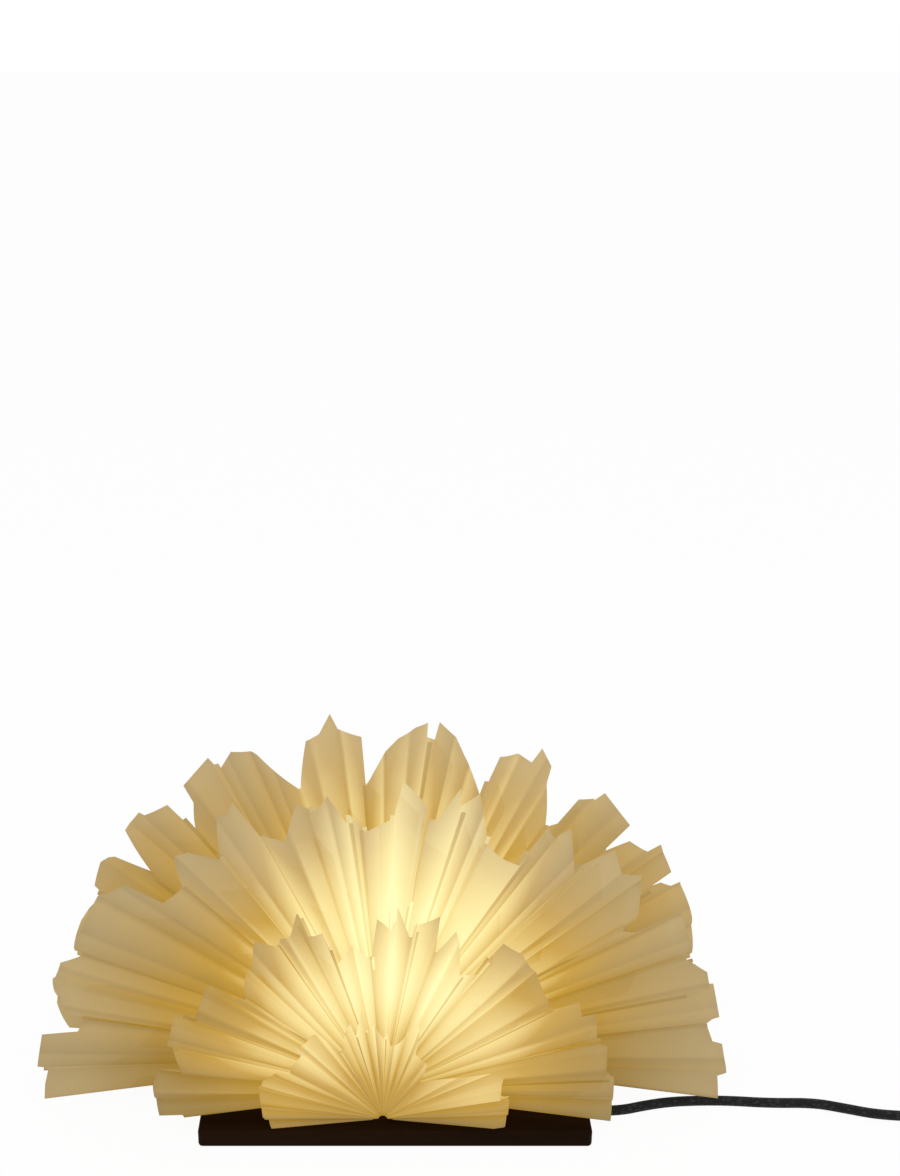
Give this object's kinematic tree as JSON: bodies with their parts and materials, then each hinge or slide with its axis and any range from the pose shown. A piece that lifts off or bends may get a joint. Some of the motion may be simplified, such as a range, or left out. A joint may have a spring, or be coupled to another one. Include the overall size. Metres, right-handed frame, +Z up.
{
  "type": "table lamp",
  "caption": "Table lamp with tiers of pleated paper fans standing on a square dark wooden board round a small globe bulb, with a braided mains lead, cord switch and plug.",
  "frame": {"origin": "centre of the underside of the board's felt", "axes": "+X to the right along the fans, -Y towards the front with the smallest fan, +Z up"},
  "size_m": [0.7681, 0.257, 0.2536],
  "materials": {
    "board_wood": "dark stained open-grain wood, satin",
    "underside_felt": "thin felt",
    "fan_paper": "matte translucent paper",
    "cord_braid": "braided textile cover",
    "relief_rubber": "matte",
    "clamp_plastic": "moulded",
    "zinc_steel": "bright zinc",
    "core_insulation": "smooth",
    "holder_plastic": "moulded",
    "holder_ceramic": "unglazed",
    "contact_brass": "bright",
    "bulb_cap_metal": "rolled",
    "bulb_collar_plastic": "smooth",
    "bulb_opal": "opal, lit from inside",
    "switch_plastic": "fine satin",
    "tie_strap": "woven strap",
    "plug_plastic": "moulded",
    "pin_metal": "nickel plate"
  },
  "bodies": {
    "lamp": {"base_board": "board_wood", "base_felt": "underside_felt", "cord_relief": "relief_rubber", "cord_clamp": "clamp_plastic", "clamp_screws": "zinc_steel", "inner_lead": "cord_braid", "lead_cores": "core_insulation", "threaded_nipple": "zinc_steel", "nipple_nut": "zinc_steel", "holder_seat": "zinc_steel", "holder_cap": "holder_plastic", "holder_disc": "holder_ceramic", "holder_contact": "contact_brass", "holder_liner": "contact_brass", "holder_shell": "holder_plastic", "bulb_cap": "bulb_cap_metal", "bulb_collar": "bulb_collar_plastic", "bulb_globe": "bulb_opal", "front_small_fan": "fan_paper", "rear_small_fan": "fan_paper", "front_middle_fan": "fan_paper", "rear_middle_fan": "fan_paper", "front_large_fan": "fan_paper", "front_inner_fan": "fan_paper", "cord_lead": "cord_braid", "switch_lower_shell": "switch_plastic", "switch_upper_shell": "switch_plastic", "switch_contacts": "contact_brass", "switch_screws": "zinc_steel", "cord_coil": "cord_braid", "cord_link": "cord_braid", "coil_ties": "tie_strap", "cord_tail": "cord_braid", "plug_relief": "plug_plastic", "plug_body": "plug_plastic", "plug_pins": "pin_metal"},
    "rocker": {"switch_rocker": "switch_plastic"}
  },
  "joints": [
    {"name": "switch_rocker_tilt", "type": "hinge", "parent": "lamp", "child": "rocker", "pos_m": [0.383, -0.1052, 0.0105], "axis": [0, 1, 0], "range_deg": [-14, 0]}
  ]
}
